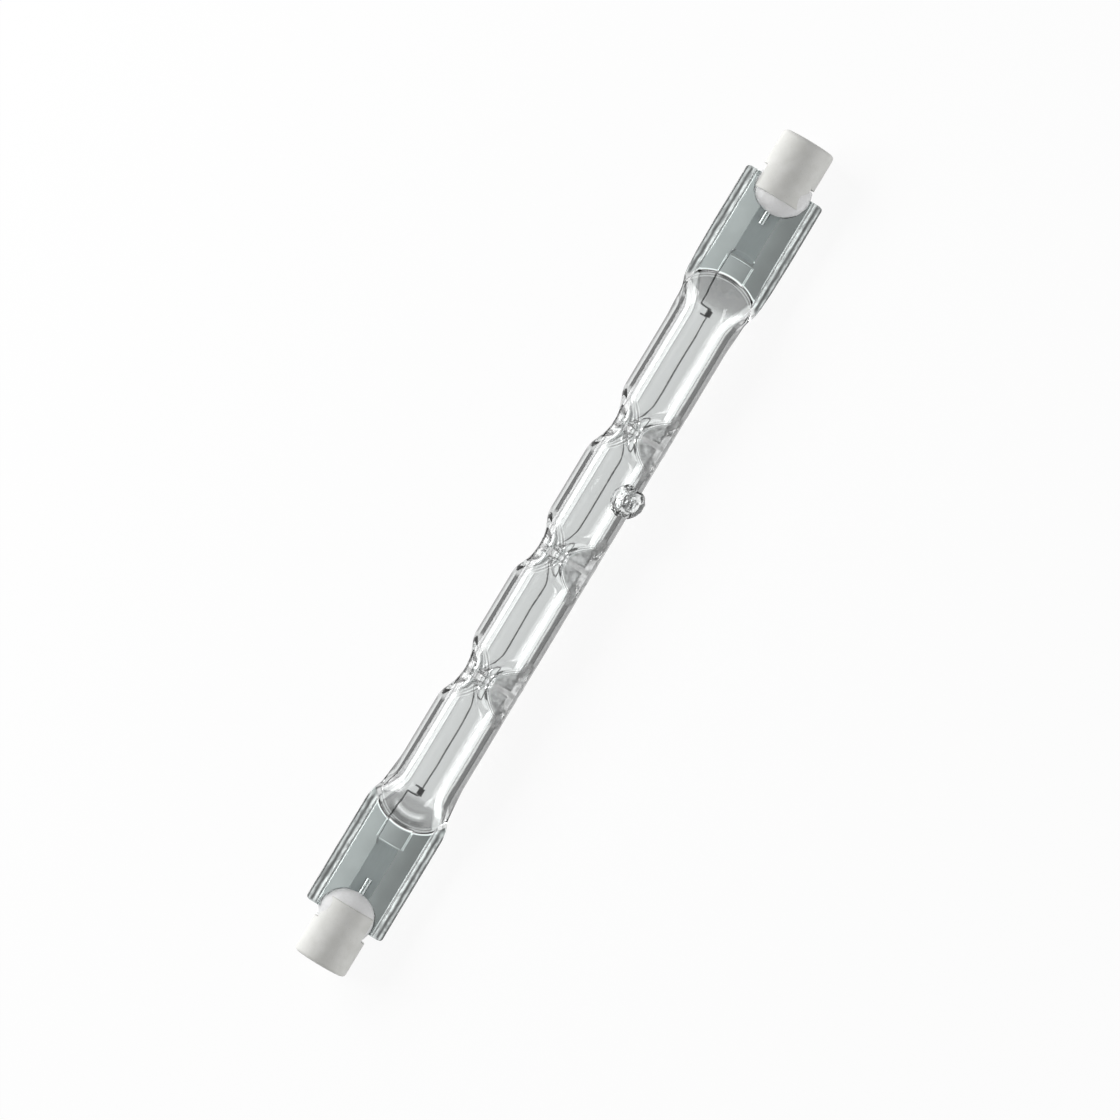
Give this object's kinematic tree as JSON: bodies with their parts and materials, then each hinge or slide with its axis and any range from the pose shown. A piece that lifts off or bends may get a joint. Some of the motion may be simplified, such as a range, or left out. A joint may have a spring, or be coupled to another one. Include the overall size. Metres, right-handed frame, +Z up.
{
  "type": "linear halogen bulb",
  "caption": "Slim double-ended halogen bulb: clear quartz tube with dimples that hold a coil on its axis, flat pressed seals, and ceramic caps with recessed contacts.",
  "frame": {"origin": "centre of the bounding box's bottom face, with the lamp lying at rest", "axes": "+X along the lamp from cap a to cap b, +Z up"},
  "size_m": [0.1176, 0.012, 0.0087],
  "materials": {
    "quartz": "gloss",
    "tungsten": "satin",
    "molybdenum": "satin",
    "ceramic": "matte",
    "cement": "matte",
    "contact_metal": "satin"
  },
  "bodies": {
    "root": {"quartz_envelope": "quartz", "filament": "tungsten", "inner_lead_a": "molybdenum", "inner_lead_b": "molybdenum", "seal_foil_a": "molybdenum", "seal_foil_b": "molybdenum", "outer_lead_a": "molybdenum", "outer_lead_b": "molybdenum", "ceramic_cap_a": "ceramic", "ceramic_cap_b": "ceramic", "cap_cement_a": "cement", "cap_cement_b": "cement", "end_contact_a": "contact_metal", "end_contact_b": "contact_metal"}
  },
  "joints": []
}
